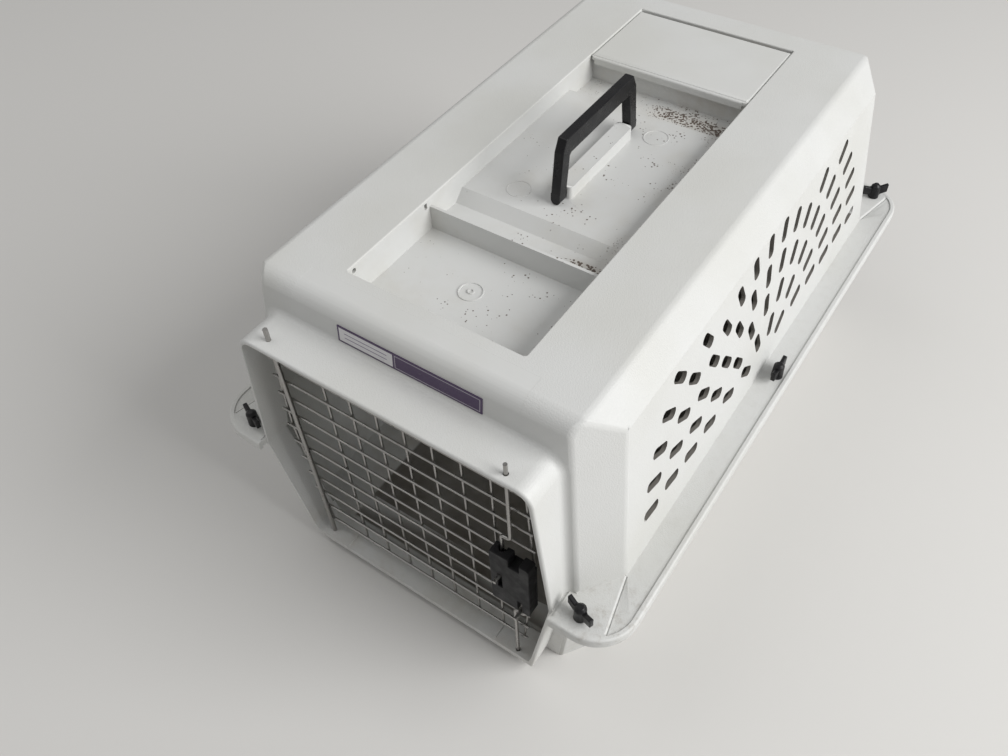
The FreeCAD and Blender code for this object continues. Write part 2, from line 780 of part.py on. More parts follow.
def recess_wall_holes():
    """Hinge holes and snap notches in the side walls of the recess, for the rear lid and a front one."""
    reach = "2 * (recess_half_width + lid_pin_reach + flange_clearance)"
    start = "-(recess_half_width + lid_pin_reach + flange_clearance)"
    radius = "lid_pin_radius + running_clearance"
    rear = crosswise("lid_pin_bore_rear", radius, reach, "lid_pivot_rear", LID_PIVOT_HEIGHT, start)
    front = crosswise("lid_pin_bore_front", radius, reach, "-lid_pivot_rear", LID_PIVOT_HEIGHT, start)
    notch_low = (start, "-divider_front - 2 * snap_notch_width", f"{LID_PIVOT_HEIGHT} - snap_notch_height / 2")
    notch = block("snap_notch_front", notch_low, (reach, "snap_notch_width", "snap_notch_height"))
    return [rear, front, notch]


def pedestal():
    """Block on the plateau that carries the handle's two pins."""
    height = "pedestal_top - plateau_height + wall / 2"
    body = new_body("pedestal")
    loop = box_loop("-pedestal_half_width", "pedestal_half_width", "-pedestal_half_length", "pedestal_half_length")
    sketch = outline(body, "pedestal_outline", "XY_Plane", [loop], "plateau_height - wall / 2")
    solid = pad(body, sketch, "pedestal_block", height)
    fillet(body, solid, "pedestal_corners", edges_along(solid, Vector(0, 0, 1)), "pedestal_half_width / 2")
    return body


def handle_bores():
    """Blind bores in the pedestal's ends for the handle's pins."""
    bores = []
    for end, start in (("front", "-pedestal_half_length"), ("rear", "pedestal_half_length - handle_pin_length")):
        bore = doc.addObject("Part::Cylinder", f"handle_bore_{end}")
        bore.Placement.Rotation = FreeCAD.Rotation(Vector(1, 0, 0), -HALF_TURN / 2)
        bind(bore, Radius="handle_pin_radius + running_clearance", Height="handle_pin_length")
        bind(bore, Placement__Base__y=start, Placement__Base__z="handle_pivot_height")
        bores.append(bore)
    return bores


def rod_holes(name, hinge_radius, low, height):
    """Holes for the hinge rod on the left and the latch rod on the right."""
    hinge = upright(f"{name}_hinge", hinge_radius, height, "-rod_half_spacing", "-hinge_rod_front", low)
    latch = upright(f"{name}_latch", "latch_rod_hole_radius", height, "rod_half_spacing", "-latch_rod_front", low)
    return [hinge, latch]


def top_shell():
    """Upper half: roof with its recess, walls with vents, upper hood and flange in one moulding."""
    solid = fuse("upper_solid", [
        upper_form("upper_outside", "0"),
        hood_form("hood_upper_outside", upper_hood_loop("0"), "0", "hood_front", "hood_top"),
        upper_flange(),
        *ear_pads(),
    ])
    inside = fuse("upper_inside", [
        upper_form("upper_core", "wall"),
        hood_form("hood_upper_core", upper_hood_loop("wall"), "wall", "(hood_front + cutter_margin)", "hood_top"),
        doorway_clearance(),
    ])
    hollow = cut("upper_hollow", solid, inside)
    tray = profile_prism("recess_tray", tray_loop(), "recess_half_width + wall")
    with_tray = fuse("upper_with_tray", [hollow, tray])
    opened = cut("upper_opened", with_tray, profile_prism("recess_void", recess_loop(), "recess_half_width"))
    with_pedestal = fuse("upper_with_pedestal", [opened, pedestal()])
    holes = rod_holes("hood_hole", "hinge_rod_radius + running_clearance", "hood_top - 2 * wall", "4 * wall")
    tools = holes + bolt_holes("upper_bolt_hole") + recess_wall_holes() + handle_bores() + [vent_cutters()]
    shell = cut("top_shell", with_pedestal, group("upper_cutters", tools))
    shell.Label = "top_shell"
    return shell


def foot_arches():
    """Gaps between the four corner feet, under the floor."""
    tall = "foot_height + cutter_margin"
    long_gap = block("arch_along", ("-base_half_width - cutter_margin", "foot_length - base_front", "-cutter_margin"),
                     ("2 * (base_half_width + cutter_margin)", "base_front + base_rear - 2 * foot_length", tall))
    wide_gap = block("arch_across", ("foot_width - base_half_width", "-base_front - cutter_margin", "-cutter_margin"),
                     ("2 * (base_half_width - foot_width)", "base_front + base_rear + 2 * cutter_margin", tall))
    return [long_gap, wide_gap]


def lower_front_draft():
    """Space in front of the lower hood, whose front edge leans back towards the sill."""
    low = "hood_bottom - cutter_margin"
    loop = [
        ("-hood_front - cutter_margin", "parting_height"),
        ("-hood_front", "parting_height"),
        ("-hood_front + hood_lean", low),
        ("-hood_front - cutter_margin", low),
    ]
    return profile_prism("lower_front_draft", loop, "hood_parting_half_width")


def bottom_shell():
    """Lower half: floor on four feet, drafted walls, lower hood with its sill, and flange."""
    flange_edge = "(rim_width + flange_clearance)"
    plate = rounded_plate("flange_lower", f"flange_half_width - {flange_edge}", f"flange_half_length - {flange_edge}",
                          "parting_height - flange_thickness", "flange_thickness",
                          f"flange_corner_radius - {flange_edge}")
    walls = fuse("lower_blank", [lower_form("lower_outside", "0", "0"), plate])
    trimmed = cut("lower_trimmed", walls, group("lower_gaps", foot_arches()))
    front_gap = block("lower_doorway_front",
                      ("-hood_parting_half_width", "-flange_half_length", "parting_height - 2 * flange_thickness"),
                      ("2 * hood_parting_half_width", "flange_half_length - hood_front", "3 * flange_thickness"))
    solid = fuse("lower_solid", [
        cut("lower_open_front", trimmed, front_gap),
        hood_form("hood_lower_outside", lower_hood_loop("0", "hood_bottom"), "0", "hood_front", "roof_height"),
    ])
    inside = fuse("lower_inside", [
        lower_form("lower_core", "wall", "foot_height + wall"),
        hood_form("hood_lower_core", lower_hood_loop("wall", "sill_top"), "wall",
                  "(hood_front + cutter_margin)", "roof_height"),
    ])
    hollow = cut("lower_hollow", solid, inside)
    holes = rod_holes("sill_hole", "hinge_rod_radius + running_clearance", "hinge_rod_bottom - flange_clearance",
                      "hinge_rod_engagement + cutter_margin")
    tools = holes + bolt_holes("lower_bolt_hole") + [lower_front_draft()]
    shell = cut("bottom_shell", hollow, group("lower_cutters", tools))
    shell.Label = "bottom_shell"
    return shell


def rear_lid():
    """Lid of the rear compartment: a plate with a finger lip in front and a hinge barrel behind."""
    body = new_body("rear_lid")
    half = "(recess_half_width - lid_side_gap)"
    top = "(roof_height - lid_sink)"
    under = f"({top} - lid_thickness)"
    plate_loop = box_loop(f"-{half}", half, "lid_front", "lid_rear")
    plate = pad(body, outline(body, "lid_plan", "XY_Plane", [plate_loop], under), "lid_plate", "lid_thickness")
    front_edges = edges_along(plate, Vector(0, 0, 1), lambda middle: middle.y < size("compartment_wall_front"))
    fillet(body, plate, "lid_corners", front_edges, "lid_corner_radius")
    lip_half = f"({half} - lid_corner_radius)"
    lip_loop = box_loop(f"-{lip_half}", lip_half, "lid_front", "lid_front + lid_lip_thickness")
    lip = outline(body, "lid_lip_plan", "XY_Plane", [lip_loop], f"{under} - lid_lip_drop")
    pad(body, lip, "lid_lip", "lid_lip_drop + lid_thickness / 2")
    barrel = circle(body, "lid_barrel_end", "YZ_Plane", "lid_pivot_rear", LID_PIVOT_HEIGHT, "lid_pin_radius")
    pad(body, barrel, "lid_barrel", "2 * (recess_half_width + lid_pin_reach)", symmetric=True)
    return body


def carry_handle():
    """Bail handle: a flat grip on two splayed legs, with a pin at each foot that points inwards."""
    body = new_body("carry_handle")
    foot = "handle_pivot_height - handle_end_drop"
    crown = "handle_top - handle_leg_width"
    right = [
        ("handle_foot_half_length", foot),
        ("handle_foot_half_length", "handle_pivot_height + handle_end_drop"),
        ("handle_head_half_length", crown),
        ("handle_head_half_length - handle_leg_width / 2", "handle_top"),
    ]
    leg_foot = "handle_foot_half_length - handle_leg_width"
    leg_head = "handle_head_half_length - handle_leg_width"
    gap_right = [
        (leg_foot, "handle_pivot_height + handle_end_drop"),
        (leg_head, "handle_top - handle_grip_depth"),
    ]
    loop = [(leg_foot, foot)] + mirrored(right) + [(f"-({leg_foot})", foot)]
    loop += [(f"-({across})", along) for across, along in gap_right] + list(reversed(gap_right))
    solid = pad(body, outline(body, "handle_side", "YZ_Plane", [loop]), "handle_bail", "handle_thickness", symmetric=True)
    soles = edges_along(solid, Vector(0, 1, 0), lambda middle: middle.z < size("handle_pivot_height"))
    feet_round = fillet(body, solid, "handle_feet", soles, "handle_end_radius")
    rim = edges_along(feet_round, Vector(1, 0, 0), lambda middle: middle.z > size("handle_pivot_height"))
    fillet(body, feet_round, "handle_corners", rim, "handle_edge_radius")
    for end, offset, backwards in (("front", leg_foot, True), ("rear", f"-({leg_foot})", False)):
        disc = circle(body, f"handle_pin_{end}_end", "XZ_Plane", "0", "handle_pivot_height", "handle_pin_radius", offset)
        reach = f"handle_pin_length + {leg_foot} - pedestal_half_length - handle_side_gap"
        pad(body, disc, f"handle_pin_{end}", reach, backwards=backwards)
    return body


RUNG_FRONT = "(hinge_rod_front - hinge_rod_radius - wire_radius + weld_depth)"
BAR_FRONT = f"({RUNG_FRONT} - 2 * wire_radius + weld_depth)"
LOW_RUNG_HEIGHT = "(top_rung_height - (rung_count - 1) * rung_spacing)"


def door_half_width(height):
    """Half width of the door at a height: widest at the middle, narrower above and below."""
    above = f"({height} - door_middle_height) / (top_rung_height - door_middle_height)"
    below = f"(door_middle_height - {height}) / (door_middle_height - {LOW_RUNG_HEIGHT})"
    upper = f"door_middle_half_width + (door_top_half_width - door_middle_half_width) * {above}"
    lower = f"door_middle_half_width + (door_low_half_width - door_middle_half_width) * {below}"
    return f"({height} > door_middle_height ? {upper} : {lower})"


def door_rungs():
    """Horizontal wires of the door."""
    wires = []
    for step in range(int(size("rung_count"))):
        height = f"(top_rung_height - {step} * rung_spacing)"
        half = door_half_width(height)
        wires.append(crosswise(f"rung_{step + 1}", "wire_radius", f"2 * {half}", f"-{RUNG_FRONT}", height, f"-{half}"))
    return group("door_horizontal_wires", wires)


def door_bars():
    """Upright wires of the door, welded behind the horizontal ones."""
    wires = []
    low = f"({LOW_RUNG_HEIGHT} - bar_underhang)"
    for step in range(int(size("bar_count"))):
        x = f"first_bar_offset - rod_half_spacing + {step} * bar_spacing"
        wires.append(upright(f"bar_{step + 1}", "wire_radius", f"top_rung_height + bar_overhang - {low}", x,
                             f"-{BAR_FRONT}", low))
    return group("door_vertical_wires", wires)


def door_side_wires():
    """Two bent wires that follow the sides of the doorway."""
    rung_front = size("hinge_rod_front") - size("hinge_rod_radius") - size("wire_radius") + size("weld_depth")
    y = -(rung_front - 2 * size("wire_radius") + size("weld_depth"))
    inset = size("side_wire_inset")
    low = size("top_rung_height") - (size("rung_count") - 1) * size("rung_spacing")
    wires = []
    for sign in (-1, 1):
        points = [
            Vector(sign * (size("door_top_half_width") - inset), y, size("top_rung_height") + size("bar_overhang")),
            Vector(sign * (size("door_middle_half_width") - inset), y, size("door_middle_height")),
            Vector(sign * (size("door_low_half_width") - inset), y, low - size("bar_underhang")),
        ]
        wires.append(bent_wire(points, size("wire_radius"), size("rung_spacing")))
    return coded("door_side_wires", Part.makeCompound(wires))


def hinge_rod():
    """Thick rod that the door is welded to and turns on, in the hood above and the sill below."""
    return upright("door_hinge_rod", "hinge_rod_radius", "hinge_rod_top - hinge_rod_bottom",
                   "-rod_half_spacing", "-hinge_rod_front", "hinge_rod_bottom")


def latch_rod(name, tip, jog, finger_offset, finger_height):
    """Latch rod: straight end in its hole, a jog, a run inside the housing and a finger bent forwards."""
    y = -size("latch_rod_front")
    points = [
        Vector(size("rod_half_spacing"), y, size(tip)),
        Vector(size("rod_half_spacing"), y, size(jog)),
        Vector(size(finger_offset), y, size(jog)),
        Vector(size(finger_offset), y, size(finger_height)),
        Vector(size(finger_offset), -size("finger_front"), size(finger_height)),
    ]
    return coded(name, bent_wire(points, size("latch_rod_radius"), size("latch_rod_bend")))


HOUSING_BACK = f"({RUNG_FRONT} + wire_radius)"
CAVITY_BACK = f"({HOUSING_BACK} + back_plate_thickness)"


def latch_channel(name, offset, low, high):
    """Round-fronted channel for a rod and its spring, open to the back of the housing."""
    bore = upright(f"{name}_bore", "channel_radius", f"{high} - ({low})", offset, "-latch_rod_front", low)
    back_low = (f"{offset} - channel_radius", "-latch_rod_front", low)
    span = ("2 * channel_radius", f"latch_rod_front - {HOUSING_BACK} + cutter_margin", f"{high} - ({low})")
    return [bore, block(f"{name}_back", back_low, span)]


def finger_slot(name, offset, low, high):
    """Slot in the front of the housing that a finger travels in."""
    half = "(latch_rod_radius + channel_gap)"
    low_corner = (f"{offset} - {half}", "-housing_front - cutter_margin", f"{low} - {half}")
    span = (f"2 * {half}", "housing_front + cutter_margin - latch_rod_front", f"{high} - ({low}) + 2 * {half}")
    return block(name, low_corner, span)


UPPER_SPRING_LOW = "(upper_finger_height - latch_rod_radius - spring_gap - spring_length)"
LOWER_SPRING_HIGH = "(lower_finger_height + latch_rod_radius + spring_gap + spring_length)"


def latch_housing():
    """Black housing of the squeeze latch, with a notch in its top edge and a channel for each rod."""
    body = new_body("housing_blank")
    loop = [
        ("housing_left", "housing_bottom"),
        ("housing_right", "housing_bottom"),
        ("housing_right", "housing_top"),
        ("housing_notch_right", "housing_top"),
        ("housing_notch_right", "housing_top - housing_notch_depth"),
        ("housing_notch_left", "housing_top - housing_notch_depth"),
        ("housing_notch_left", "housing_top"),
        ("housing_left", "housing_top"),
    ]
    sketch = outline(body, "housing_front_view", "XZ_Plane", [loop], CAVITY_BACK)
    solid = pad(body, sketch, "housing_block", f"housing_front - {CAVITY_BACK}")
    outer = (size("housing_left"), size("housing_right"))
    corners = edges_along(solid, Vector(0, 1, 0), lambda middle: min(abs(middle.x - side) for side in outer) < 1)
    fillet(body, solid, "housing_corners", corners, "housing_corner_radius")
    travel = "latch_travel"
    tools = latch_channel("upper_channel", "upper_finger_offset", f"{UPPER_SPRING_LOW} - spring_gap",
                          "housing_top + cutter_margin")
    tools += latch_channel("lower_channel", "lower_finger_offset", "housing_bottom - cutter_margin",
                           f"{LOWER_SPRING_HIGH} + spring_gap")
    tools.append(finger_slot("upper_slot", "upper_finger_offset", f"upper_finger_height - {travel}", "upper_finger_height"))
    tools.append(finger_slot("lower_slot", "lower_finger_offset", "lower_finger_height", f"lower_finger_height + {travel}"))
    housing = cut("latch_housing", body, group("housing_cutters", tools))
    housing.Label = "latch_housing"
    return housing


def latch_back_plate():
    """Plate that closes the back of the housing and lies against the door's wires."""
    body = new_body("latch_back_plate")
    loop = box_loop("housing_left", "housing_right", "housing_bottom", "housing_top - housing_notch_depth")
    plate = pad(body, outline(body, "back_plate_view", "XZ_Plane", [loop], HOUSING_BACK), "back_plate",
                "back_plate_thickness")
    low = size("housing_bottom") + size("housing_corner_radius")
    corners = edges_along(plate, Vector(0, 1, 0), lambda middle: middle.z < low)
    fillet(body, plate, "back_plate_corners", corners, "housing_corner_radius")
    return body


def latch_spring(name, offset, low):
    """Compression spring between a finger's bend and the housing, kept as its outer form."""
    outside = upright(f"{name}_outside", "spring_outer_radius", "spring_length", offset, "-latch_rod_front", low)
    bore = upright(f"{name}_bore", "spring_inner_radius", "spring_length", offset, "-latch_rod_front", low)
    spring = cut(name, outside, bore)
    spring.Label = name
    return spring


def flange_bolt(place, x, y):
    """Bolt through both flanges, its flat head below."""
    body = new_body(f"flange_bolt_{place}")
    loop = [
        ("0", "-bolt_head_thickness"),
        ("bolt_head_radius", "-bolt_head_thickness"),
        ("bolt_head_radius", "0"),
        ("bolt_radius", "0"),
        ("bolt_radius", "2 * flange_thickness + bolt_height"),
        ("0", "2 * flange_thickness + bolt_height"),
    ]
    revolve(body, outline(body, f"bolt_{place}_half", "XZ_Plane", [loop]), f"bolt_{place}_turned")
    bind(body, Placement__Base__x=x, Placement__Base__y=y, Placement__Base__z="parting_height - flange_thickness")
    return body


def wing_nut(place, x, y):
    """Plastic wing nut: a domed hub with a blind bore and two upright wings."""
    body = new_body(f"wing_nut_{place}")
    hub = [
        ("0", "0"),
        ("nut_hub_radius", "0"),
        ("nut_neck_radius", "nut_height - nut_dome"),
        ("nut_neck_radius / 2", "nut_height"),
        ("0", "nut_height"),
    ]
    revolve(body, outline(body, f"nut_{place}_half", "XZ_Plane", [hub]), f"nut_{place}_hub")
    wing = [
        ("nut_neck_radius", "nut_wing_low / 2"),
        ("nut_wing_reach", "nut_wing_low"),
        ("nut_wing_reach", "nut_wing_high"),
        ("nut_neck_radius", "nut_wing_high - nut_dome"),
    ]
    sketch = outline(body, f"nut_{place}_wing_view", "XZ_Plane", [mirrored(wing)])
    pad(body, sketch, f"nut_{place}_wings", "nut_wing_thickness", symmetric=True)
    hole = body.newObject("PartDesign::Pocket", f"nut_{place}_bore")
    hole.Profile = circle(body, f"nut_{place}_bore_end", "XY_Plane", "0", "0", "bolt_radius + running_clearance")
    hole.Reversed = True
    bind(hole, Length="nut_bore_depth")
    doc.recompute()
    body.Placement.Rotation = FreeCAD.Rotation(Vector(0, 0, 1), size(place.split("_")[0] + "_nut_turn"))
    seat = "parting_height + flange_thickness + nut_seat_gap"
    raised = "" if place.startswith("middle") else " + ear_pad_height"
    bind(body, Placement__Base__x=x, Placement__Base__y=y, Placement__Base__z=seat + raised)
    return body


def front_label():
    """Blank plate on the sloping front face, below the round of the roof's edge."""
    plate = doc.addObject("Part::Box", "front_label")
    lean = "(parting_front - upper_front) / (roof_height - parting_height)"
    top_front = f"(upper_front + (roof_height - label_top) * {lean})"
    bind(plate, Length="label_width", Width="label_thickness", Height="label_height")
    bind(plate, Placement__Base__x="label_offset - label_width / 2")
    bind(plate, Placement__Base__y=f"-{top_front} - label_height * {lean} - label_thickness - label_seat_gap")
    bind(plate, Placement__Base__z="label_top - label_height")
    tilt = math.degrees(math.atan((size("parting_front") - size("upper_front"))
                                  / (size("roof_height") - size("parting_height"))))
    plate.Placement.Rotation = FreeCAD.Rotation(Vector(1, 0, 0), -tilt)
    return plate


NODES = [
    top_shell(),
    bottom_shell(),
    rear_lid(),
    carry_handle(),
    door_rungs(),
    door_bars(),
    door_side_wires(),
    hinge_rod(),
    latch_housing(),
    latch_back_plate(),
    latch_rod("latch_upper_rod", "upper_tip_height", "upper_jog_height", "upper_finger_offset", "upper_finger_height"),
    latch_rod("latch_lower_rod", "lower_tip_height", "lower_jog_height", "lower_finger_offset", "lower_finger_height"),
    latch_spring("latch_upper_spring", "upper_finger_offset", UPPER_SPRING_LOW),
    latch_spring("latch_lower_spring", "lower_finger_offset", f"{LOWER_SPRING_HIGH} - spring_length"),
    front_label(),
]
for bolt_place, (bolt_x, bolt_y) in BOLT_PLACES.items():
    NODES.append(flange_bolt(bolt_place, bolt_x, bolt_y))
    NODES.append(wing_nut(bolt_place, bolt_x, bolt_y))

doc.recompute()
for thing in doc.Objects:
    if "Invalid" in thing.State or "Error" in thing.State:
        raise RuntimeError(f"{thing.Name} failed: {thing.State}")
for node in NODES:
    if node.Shape.isNull() or not node.Shape.isValid():
        raise RuntimeError(f"{node.Label} has no valid shape")

os.makedirs("parts", exist_ok=True)
for node in NODES:
    node.Shape.exportStep(f"parts/{node.Label}.step")
    solids = node.Shape.Solids
    print(node.Label, len(solids), round(node.Shape.Volume), node.Shape.BoundBox)
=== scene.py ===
"""Looks for a moulded two-piece travel kennel, in metres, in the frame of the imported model."""
from math import cos, radians, sin, tan

import bmesh
import bpy
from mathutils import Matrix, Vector


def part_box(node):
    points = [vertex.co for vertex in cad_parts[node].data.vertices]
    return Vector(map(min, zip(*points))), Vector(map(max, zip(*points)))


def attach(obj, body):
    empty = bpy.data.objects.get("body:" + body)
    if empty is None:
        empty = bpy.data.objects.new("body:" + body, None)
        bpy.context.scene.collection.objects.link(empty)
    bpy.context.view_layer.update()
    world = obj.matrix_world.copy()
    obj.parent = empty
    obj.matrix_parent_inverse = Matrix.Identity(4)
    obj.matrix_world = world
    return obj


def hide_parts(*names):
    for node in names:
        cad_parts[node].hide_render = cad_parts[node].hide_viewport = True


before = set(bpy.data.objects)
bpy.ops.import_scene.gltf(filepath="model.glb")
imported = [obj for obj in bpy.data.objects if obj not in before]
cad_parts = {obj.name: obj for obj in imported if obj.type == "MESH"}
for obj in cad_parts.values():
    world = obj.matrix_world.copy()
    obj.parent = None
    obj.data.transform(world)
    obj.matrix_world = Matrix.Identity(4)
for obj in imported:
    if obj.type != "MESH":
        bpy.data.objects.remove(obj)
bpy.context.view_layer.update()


# Upper half of the kennel: one injection moulding in off-white plastic with a pebbled skin, bolted
# to the lower half through the flange. The recess in its roof is left smooth by the mould. Dust and
# grit gather in the recess's low parts. The narrow walls of the vents carry painted shade in dark grey.
CREASE = radians(20)
ROUNDED_FROM = radians(28)
FLAT_WITHIN = radians(0.6)
SAME_POINT = 1e-6
SHELL_WHITE = (0.60, 0.603, 0.59, 1)
SHELL_PEBBLE = 0.28
ROOF_HEIGHT = 0.304
RECESS_HALF_WIDTH = 0.0753
RECESS_HALF_LENGTH = 0.2133
RECESS_FLOOR = 0.2755
RIM_HALF_WIDTH = 0.085
RIM_HALF_LENGTH = 0.222
CLEAN_SIDE, DIRTY_SIDE = -0.05, 0.04


def moulded_copy(node, name, *rounds):
    """Copy of a CAD node with rounded outer edges.

    A round is how far it reaches from the edge, its steps, and a test that picks edges.
    """
    work = bmesh.new()
    work.from_mesh(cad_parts[node].data)
    bmesh.ops.remove_doubles(work, verts=work.verts, dist=SAME_POINT)
    sharp = settle(work.copy(), f"{name}_sharp")
    bmesh.ops.dissolve_limit(work, angle_limit=FLAT_WITHIN, verts=work.verts, edges=work.edges)
    shavings = bmesh.new()
    for reach, steps, wanted in rounds:
        for edge in work.edges:
            if edge.is_manifold and edge.calc_face_angle_signed() > ROUNDED_FROM and wanted(edge):
                shave(shavings, edge, reach, steps)
    bmesh.ops.recalc_face_normals(shavings, faces=shavings.faces)
    waste = settle(shavings, f"{name}_waste")
    planing = sharp.modifiers.new("planing", "BOOLEAN")
    planing.operation = "DIFFERENCE"
    planing.solver = "EXACT"
    planing.use_self = True
    planing.object = waste
    planed = bpy.data.meshes.new_from_object(sharp.evaluated_get(bpy.context.evaluated_depsgraph_get()))
    work.clear()
    work.from_mesh(planed)
    for mesh in (sharp.data, waste.data, planed):
        bpy.data.meshes.remove(mesh)
    bmesh.ops.remove_doubles(work, verts=work.verts, dist=3 * SAME_POINT)
    bmesh.ops.dissolve_degenerate(work, edges=work.edges, dist=2 * SAME_POINT)
    piece = settle(work, name)
    piece.modifiers.new("flat_faces", "WEIGHTED_NORMAL").keep_sharp = True
    return piece


def shave(shavings, edge, reach, steps):
    """Add the sliver that rounds an edge: its hollow side is an arc that runs out on both faces."""
    overrun, proud, clear, peak, hollow = 0.0004, 0.00003, 0.0006, 0.002, -0.1
    run = (edge.verts[1].co - edge.verts[0].co).normalized()
    held_back = -0.6 * min(reach, edge.calc_length() / 3)
    ends = []
    for corner, way in zip(edge.verts, (-run, run)):
        joined = [other for other in corner.link_edges if other.is_manifold]
        stopped = any(other.calc_face_angle_signed() < hollow for other in joined)
        ends.append(corner.co + way * (held_back if stopped else overrun))
    one, two = (face.normal for face in edge.link_faces)
    outward = (one + two).normalized()
    radius = reach / tan(one.angle(two) / 2)
    core = -outward * (radius ** 2 + reach ** 2) ** 0.5
    outline = [core + one.slerp(two, step / steps) * radius + outward * proud for step in range(steps + 1)]
    outline += [outline[-1] + two * clear, outward * peak, outline[0] + one * clear]
    profile = shavings.faces.new([shavings.verts.new(ends[0] + point) for point in outline])
    drawn = bmesh.ops.extrude_face_region(shavings, geom=[profile])["geom"]
    corners = [part for part in drawn if isinstance(part, bmesh.types.BMVert)]
    bmesh.ops.translate(shavings, verts=corners, vec=ends[1] - ends[0])


def settle(work, name):
    """Object from a bmesh, smooth but for its creases."""
    mesh = bpy.data.meshes.new(name)
    work.to_mesh(mesh)
    work.free()
    mesh.shade_smooth()
    mesh.set_sharp_from_angle(angle=CREASE)
    piece = bpy.data.objects.new(name, mesh)
    bpy.context.scene.collection.objects.link(piece)
    return piece


class Finish:
    """Node material that is built one node at a time."""

    def __init__(self, name, colour, roughness, metallic=0.0):
        self.material = bpy.data.materials.new(name)
        self.material.use_nodes = True
        self.tree = self.material.node_tree
        self.shader = self.tree.nodes["Principled BSDF"]
        self.shader.inputs["Base Color"].default_value = colour
        self.shader.inputs["Roughness"].default_value = roughness
        self.shader.inputs["Metallic"].default_value = metallic
        self.place = self.add("ShaderNodeTexCoord").outputs["Object"]

    def add(self, kind, **inputs):
        """New node with some of its inputs set or linked."""
        node = self.tree.nodes.new(kind)
        for key, value in inputs.items():
            self.feed(node.inputs[key], value)
        return node

    def feed(self, socket, value):
        """Set a socket, or link it to another node's output."""
        if isinstance(value, bpy.types.NodeSocket):
            self.tree.links.new(value, socket)
        else:
            socket.default_value = value

    def noise(self, scale, detail=3.0, roughness=0.5):
        """Noise in the piece's own space. Scale is in waves for each metre."""
        return self.add("ShaderNodeTexNoise", Vector=self.place, Scale=scale, Detail=detail,
                        Roughness=roughness).outputs["Fac"]

    def cells(self, scale):
        """Distance to the nearest point of a scatter."""
        return self.add("ShaderNodeTexVoronoi", Vector=self.place, Scale=scale).outputs["Distance"]

    def ramp(self, value, low, high, start=0.0, end=1.0):
        """Smooth step from one number to another."""
        node = self.add("ShaderNodeMapRange", Value=value)
        node.interpolation_type = "SMOOTHSTEP"
        node.inputs["From Min"].default_value = low
        node.inputs["From Max"].default_value = high
        node.inputs["To Min"].default_value = start
        node.inputs["To Max"].default_value = end
        return node.outputs["Result"]

    def math(self, operation, one, two=0.0):
        """Sum, product or other of two values."""
        node = self.tree.nodes.new("ShaderNodeMath")
        node.operation = operation
        self.feed(node.inputs[0], one)
        self.feed(node.inputs[1], two)
        return node.outputs[0]

    def blend(self, share, one, two):
        """Mix of two colours."""
        node = self.tree.nodes.new("ShaderNodeMix")
        node.data_type = "RGBA"
        self.feed(node.inputs["Factor"], share)
        self.feed(node.inputs["A"], one)
        self.feed(node.inputs["B"], two)
        return node.outputs["Result"]

    def along(self, axis):
        """One of the piece's own coordinates."""
        return self.add("ShaderNodeSeparateXYZ", Vector=self.place).outputs[axis]

    def level(self):
        """One where the surface faces up, where dust and soil can lie."""
        facing = self.add("ShaderNodeTexCoord").outputs["Normal"]
        return self.ramp(self.add("ShaderNodeSeparateXYZ", Vector=facing).outputs["Z"], 0.6, 0.9)

    def colour(self, value):
        """Colour of the surface."""
        self.feed(self.shader.inputs["Base Color"], value)

    def gloss(self, value):
        """Roughness of the surface."""
        self.feed(self.shader.inputs["Roughness"], value)

    def bump(self, height, distance, strength=1.0):
        """Relief, its depth in metres."""
        node = self.add("ShaderNodeBump", Height=height, Distance=distance, Strength=strength)
        self.feed(self.shader.inputs["Normal"], node.outputs["Normal"])


def pebbled_plastic(name, colour, pebble, smooth=None, soil=None):
    """Moulded plastic: leather-like pebbles, faint yellowing, grey scuffs, and splashes near the ground."""
    scuff_grey = (0.33, 0.31, 0.27, 1)
    splash_brown = (0.36, 0.31, 0.24, 1)
    yellowing = (0.94, 0.935, 0.91)
    splash_height = 0.07
    relief_depth = 0.00035
    skin = Finish(name, colour, 0.5)
    clouds = skin.ramp(skin.noise(7.0, 4.0), 0.35, 0.7)
    aged = tuple(part * share for part, share in zip(colour[:3], yellowing)) + (1,)
    base = skin.blend(clouds, colour, aged)
    scuff = skin.ramp(skin.noise(55.0, 8.0, 0.72), 0.66, 0.8)
    base = skin.blend(skin.math("MULTIPLY", scuff, 0.25), base, scuff_grey)
    low = skin.ramp(skin.along("Z"), splash_height, 0.0)
    splash = skin.math("MULTIPLY", low, skin.ramp(skin.noise(22.0, 6.0, 0.65), 0.4, 0.75))
    base = skin.blend(skin.math("MULTIPLY", splash, 0.45), base, splash_brown)
    grain = skin.math("MULTIPLY", skin.ramp(skin.cells(900.0), 0.05, 0.75), 0.7)
    relief = skin.math("ADD", grain, skin.math("MULTIPLY", skin.noise(1100.0, 2.0), 0.5))
    if smooth:
        relief = skin.math("MULTIPLY", relief, smooth(skin))
    if soil:
        base = soil(skin, base)
    skin.colour(base)
    skin.gloss(skin.ramp(skin.noise(40.0, 5.0), 0.3, 0.7, 0.42, 0.58))
    skin.bump(relief, relief_depth, pebble)
    return skin.material


def band(skin, value, low, high, soft):
    """One between two limits, with soft ends, and nothing outside them."""
    return skin.math("MULTIPLY", skin.ramp(value, low - soft, low), skin.ramp(value, high + soft, high))


def label_panel(skin):
    """Relief share: none on the smooth panel round the name plate, whose edge is a faint step."""
    left, right, back, foot, step = -0.098, 0.093, -0.2224, 0.2755, 0.0006
    x, y, z = (skin.along(axis) for axis in "XYZ")
    panel = skin.math("MULTIPLY", band(skin, x, left, right, step), skin.ramp(y, back, back - step))
    panel = skin.math("MULTIPLY", panel, skin.ramp(z, foot, foot + step))
    return skin.math("SUBTRACT", 1.0, panel)


